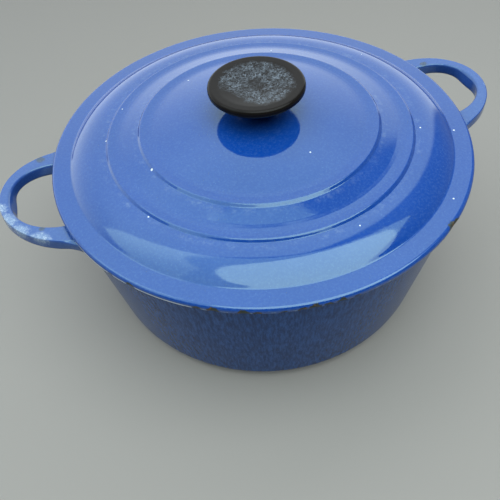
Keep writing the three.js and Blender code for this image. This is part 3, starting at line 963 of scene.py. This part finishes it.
def girth(outline, segments, zero):
    """How far along its outline each vertex of a lathe lies, in millimetres from a given point."""
    closed = np.allclose(outline[0], outline[-1])
    travel = np.concatenate([[0], np.cumsum(np.linalg.norm(np.diff(outline, axis=0), axis=1))])
    travel -= travel[np.linalg.norm(outline - zero, axis=1).argmin()]
    counts = np.where(outline[:, 0] < AXIS, 1, segments)
    if closed:
        travel, counts = travel[:-1], counts[:-1]
    return np.repeat(travel, counts)


def mark(piece, name, values):
    """Gives a mesh a value at each of its vertices."""
    attribute = piece.data.attributes.new(name, "FLOAT", "POINT")
    attribute.data.foreach_set("value", np.asarray(values, np.float32))


def place(piece, body, slot, node):
    """Lets a piece ride on a body and stand for a CAD node. The slot is not used."""
    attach(piece, body)
    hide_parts(node)


def make_pot():
    outline = pot_outline()
    grip = handle()
    shell = lathe(outline, CASTING_SEGMENTS)
    vertices, faces = joined(shell, grip, mirrored(grip))
    pot = new_object("pot", vertices, faces, pot_finish("pot_enamel", WALL_IOR))
    pot.data.materials.append(pot_finish("handle_enamel", ENAMEL_IOR))
    on_handles = np.arange(len(faces)) >= len(shell[1])
    pot.data.polygons.foreach_set("material_index", on_handles.astype(int))
    crown = (RIM_RADIUS - WALL / 2, POT_HEIGHT)
    along = girth(outline, CASTING_SEGMENTS, crown)
    outside = np.full(len(vertices) - len(along), along.min())
    mark(pot, "girth", np.concatenate([along, outside]))
    cast_surface(pot, POT_SWELL, 5)
    place(pot, "pot", "blue_enamel", "pot_body")


def make_lid():
    outline = lid_outline()
    lid = new_object("lid_casting", *lathe(outline, CASTING_SEGMENTS), lid_finish(outline))
    mark(lid, "girth", girth(outline, CASTING_SEGMENTS, (LID_RADIUS, 0)))
    lid.data.transform(Matrix.Translation((0, 0, FLANGE_Z * MM)))
    cast_surface(lid, LID_SWELL, 9)
    chipped(lid, [(a, LID_RADIUS, FLANGE_Z, size) for a, size in EDGE_CHIPS])
    place(lid, "lid", "blue_enamel", "lid")


def make_knob():
    knob = new_object("knob_moulding", *lathe(knob_outline(), KNOB_SEGMENTS), knob_finish())
    knob.data.transform(Matrix.Translation((0, 0, KNOB_LOW.z * MM)))
    place(knob, "lid", "black_phenolic", "knob")


def washer_outline(bore, outside, low, high, rounding):
    """The section of a flat ring with eased edges."""
    return divided(rounded([
        (bore, (low + high) / 2),
        (bore, low, rounding),
        (outside, low, rounding),
        (outside, high, rounding),
        (bore, high, rounding),
        (bore, (low + high) / 2),
    ]))


def moved_out(vertices, radius, distances):
    """Moves the points that lie at a radius outwards, each by its own distance."""
    around = np.hypot(vertices[:, 0], vertices[:, 1])
    distances = distances * (np.abs(around - radius) < ON_THREAD)
    scale = 1 + distances / around.clip(AXIS)
    return vertices * np.stack([scale, scale, np.ones(len(scale))], axis=1)


def threaded(vertices, radius, depth):
    """Cuts a helical thread outwards into the points at a radius, or inwards if depth is negative."""
    turn = np.arctan2(vertices[:, 1], vertices[:, 0]) / math.tau
    phase = (vertices[:, 2] / THREAD_PITCH - turn) % 1
    return moved_out(vertices, radius, depth * np.abs(2 * phase - 1))


def knurled(vertices, radius):
    """Cuts straight grooves into the points at a radius."""
    turn = np.arctan2(vertices[:, 1], vertices[:, 0])
    cut = KNURL_DEPTH * (0.5 + 0.5 * np.cos(KNURL_RIDGES * turn))
    return moved_out(vertices, radius, -cut)


def make_insert():
    """The brass insert in the knob: knurled outside and threaded inside."""
    outline = divided(rounded([
        (INSERT_BORE_RADIUS, INSERT_HIGH.z - INSERT_CHAMFER),
        (INSERT_BORE_RADIUS, INSERT_LOW.z + INSERT_CHAMFER),
        (INSERT_BORE_RADIUS + INSERT_CHAMFER, INSERT_LOW.z),
        (INSERT_HIGH.x, INSERT_LOW.z, INSERT_EDGE_ROUND),
        (INSERT_HIGH.x, INSERT_HIGH.z, INSERT_EDGE_ROUND),
        (INSERT_BORE_RADIUS + INSERT_CHAMFER, INSERT_HIGH.z),
        (INSERT_BORE_RADIUS, INSERT_HIGH.z - INSERT_CHAMFER),
    ]), THREAD_FINENESS)
    vertices, faces = lathe(outline, SMALL_SEGMENTS)
    vertices = threaded(vertices, INSERT_BORE_RADIUS, INSERT_THREAD_DEPTH)
    vertices = knurled(vertices, INSERT_HIGH.x)
    finish = metal_finish("brass", BRASS, 0.34, OLD_BRASS)
    place(new_object("insert", vertices, faces, finish), "lid", "insert_brass", "knob_insert")


def slotted_lathe(outline, half_width, floor):
    """An outline turned about Z with a straight slot along X across its lower end, up to a level.
    The outline starts at the slot's half width. Each ring has four arcs: in the slot, out of it, in
    and out again."""
    vertices = [(0, 0, floor)]
    rings = []
    for radius, height in outline:
        edge = math.asin(min(1, half_width / radius))
        corners = [-edge, edge, math.pi - edge, math.pi + edge, math.tau - edge]
        arcs = []
        for number, (start, end) in enumerate(zip(corners, corners[1:])):
            level = max(height, floor) if number % 2 == 0 else height
            arcs.append(range(len(vertices), len(vertices) + SLOT_ARC_STEPS + 1))
            for angle in np.linspace(start, end, SLOT_ARC_STEPS + 1):
                vertices.append((radius * math.cos(angle), radius * math.sin(angle), level))
        rings.append([index for arc in arcs for index in arc])
    count = len(rings[0])
    faces = [[0, a, b] for a, b in zip(rings[0], rings[0][1:] + rings[0][:1])]
    for low, high in zip(rings, rings[1:]):
        for k in range(count):
            n = (k + 1) % count
            faces.append([low[k], low[n], high[n], high[k]])
    faces.append(rings[-1])
    return welded(np.array(vertices), faces)


def welded(vertices, faces):
    """The same surface with points that coincide made one and faces without area dropped."""
    keys = np.round(vertices / WELD).astype(int)
    _, first, number = np.unique(keys, axis=0, return_index=True, return_inverse=True)
    number = number.ravel()
    made = []
    for face in faces:
        face = list(dict.fromkeys(number[face].tolist()))
        if len(face) > 2:
            made.append(face)
    return vertices[first], made


def make_screw():
    """The knob's screw, head down: a rounded slotted head and a threaded shank."""
    head_top = SCREW_LOW.z + HEAD_HEIGHT
    head = SCREW_HIGH.x
    dome = [
        (head * math.sin(a), SCREW_LOW.z + HEAD_ROUND * (1 - math.cos(a)))
        for a in np.linspace(math.asin(SLOT_WIDTH / 2 / head), math.pi / 2, DOME_STEPS + 1)
    ]
    outline = divided(np.array([
        *dome,
        (head, head_top - HEAD_EDGE),
        (head - HEAD_EDGE, head_top),
        (SHANK_RADIUS, head_top),
        (SHANK_RADIUS, SCREW_HIGH.z - SHANK_CHAMFER),
        (SHANK_RADIUS - SHANK_CHAMFER, SCREW_HIGH.z),
    ]), THREAD_FINENESS)
    vertices, faces = slotted_lathe(outline, SLOT_WIDTH / 2, SCREW_LOW.z + SLOT_DEPTH)
    vertices = threaded(vertices, SHANK_RADIUS, -THREAD_DEPTH)
    finish = metal_finish("steel", STEEL, 0.3, OLD_STEEL)
    screw = new_object("screw", vertices, faces, finish, smooth=False)
    place(screw, "lid", "stainless_steel", "knob_screw")


def make_washers():
    """A flat washer under the lid's boss, and a split spring washer between it and the screw."""
    finish = metal_finish("washer_steel", STEEL, 0.26, OLD_WASHER)
    outline = washer_outline(WASHER_BORE_RADIUS, FLAT_HIGH.x, FLAT_LOW.z, FLAT_HIGH.z, FLAT_EDGE_ROUND)
    flat = new_object("plain_washer", *lathe(outline, SMALL_SEGMENTS), finish)
    place(flat, "lid", "stainless_steel", "flat_washer")
    section = washer_outline(WASHER_BORE_RADIUS, LOCK_HIGH.x, 0, LOCK_THICKNESS, LOCK_EDGE_ROUND)[:-1]
    rise = LOCK_HIGH.z - LOCK_LOW.z - LOCK_THICKNESS
    rings = []
    for share in np.linspace(0, 1, SMALL_SEGMENTS):
        angle = share * (math.tau - LOCK_WASHER_SPLIT)
        height = LOCK_LOW.z + rise * share
        rings.append([(r * math.cos(angle), r * math.sin(angle), h + height) for r, h in section])
    vertices, faces = loft(np.array(rings))
    spring = new_object("spring_washer", vertices, [face[::-1] for face in faces], finish)
    place(spring, "lid", "stainless_steel", "lock_washer")


# ---------- floor and light ----------

def make_floor():
    """A plain pale floor."""
    finish = Finish("floor", FLOOR_PAINT, 0.8)
    corners = ((-1, -1), (1, -1), (1, 1), (-1, 1))
    vertices = [(FLOOR_REACH * x, FLOOR_REACH * y, 0) for x, y in corners]
    floor = new_object("floor", vertices, [[0, 1, 2, 3]], finish.done())


# The haze: its colour, its radiance on the near and the far side, and shares of that radiance
HAZE = (0.80, 0.85, 0.88)
HAZE_NEAR = 0.5
HAZE_FAR = 1.8
HORIZON_GAIN = 1.2
HEIGHT_GAIN = 1.35
CEILING = 0.15
DIM_SIDE = 0.18
DIM_EDGE = (-0.19, -0.09)    # the haze grows dim as right less ahead passes from one to the other
DIM_LIFT = 0.1               # added to that at the zenith, so the dim part leans over to the left


def make_world():
    """A pale haze round the object, brightest beyond it and to its left, with a dark ceiling and a
    dim part on the right."""
    world = bpy.data.worlds.new("studio")
    bpy.context.scene.world = world
    world.use_nodes = True
    sky = Nodes(world.node_tree)
    direction = sky.nodes.new("ShaderNodeTexCoord").outputs["Generated"]
    ahead = sky.vector_maths("DOT_PRODUCT", direction, FORWARD)
    right = sky.vector_maths("DOT_PRODUCT", direction, RIGHT)
    rise = sky.vector_maths("DOT_PRODUCT", direction, (0, 0, 1))
    strength = sky.ramp(ahead, -0.3, 0.3, HAZE_NEAR, HAZE_FAR)
    for low, high, start, end in (
        (0.1, 0.5, HORIZON_GAIN, 1),
        (0.6, 0.8, 1, HEIGHT_GAIN),
        (0.92, 0.94, 1, CEILING),
    ):
        strength = sky.maths("MULTIPLY", strength, sky.ramp(rise, low, high, start, end))
    lift = sky.ramp(rise, 0.75, 1, 0, DIM_LIFT)
    side = sky.maths("ADD", sky.maths("SUBTRACT", right, ahead), lift)
    strength = sky.maths("MULTIPLY", strength, sky.ramp(side, *DIM_EDGE, 1, DIM_SIDE))
    background = sky.nodes["Background"]
    sky.feed(background.inputs["Strength"], strength)
    background.inputs["Color"].default_value = (*HAZE, 1)


def softbox(name, shape, ahead, right, height, width, depth, radiance, colour):
    """A soft lamp that hangs level over the lid. Its place and size are in metres, along FORWARD,
    RIGHT and up."""
    data = bpy.data.lights.new(name, "AREA")
    data.shape = shape
    data.size = width
    data.size_y = depth
    data.energy = radiance * math.pi * width * depth
    data.color = colour
    lamp = bpy.data.objects.new(name, data)
    lamp.location = FORWARD * ahead + RIGHT * right + Vector((0, 0, height))
    lamp.rotation_euler.z = math.atan2(RIGHT.y, RIGHT.x)
    bpy.context.scene.collection.objects.link(lamp)


def make_lights():
    """The haze, a wide lamp overhead, and a brighter one just under it on the right."""
    make_world()
    softbox("overhead", "RECTANGLE", ahead=-0.40, right=-0.3, height=1.2, width=2.8, depth=1.39,
            radiance=1.8, colour=(0.85, 1, 1))
    softbox("key", "ELLIPSE", ahead=-0.40, right=0.42, height=1.12, width=1.5, depth=1.25,
            radiance=2.4, colour=(0.93, 1, 1))


# ---------- the scene ----------

make_camera()
make_lights()
make_floor()
make_pot()
make_lid()
make_knob()
make_insert()
make_screw()
make_washers()

bpy.context.scene.view_settings.view_transform = "Standard"
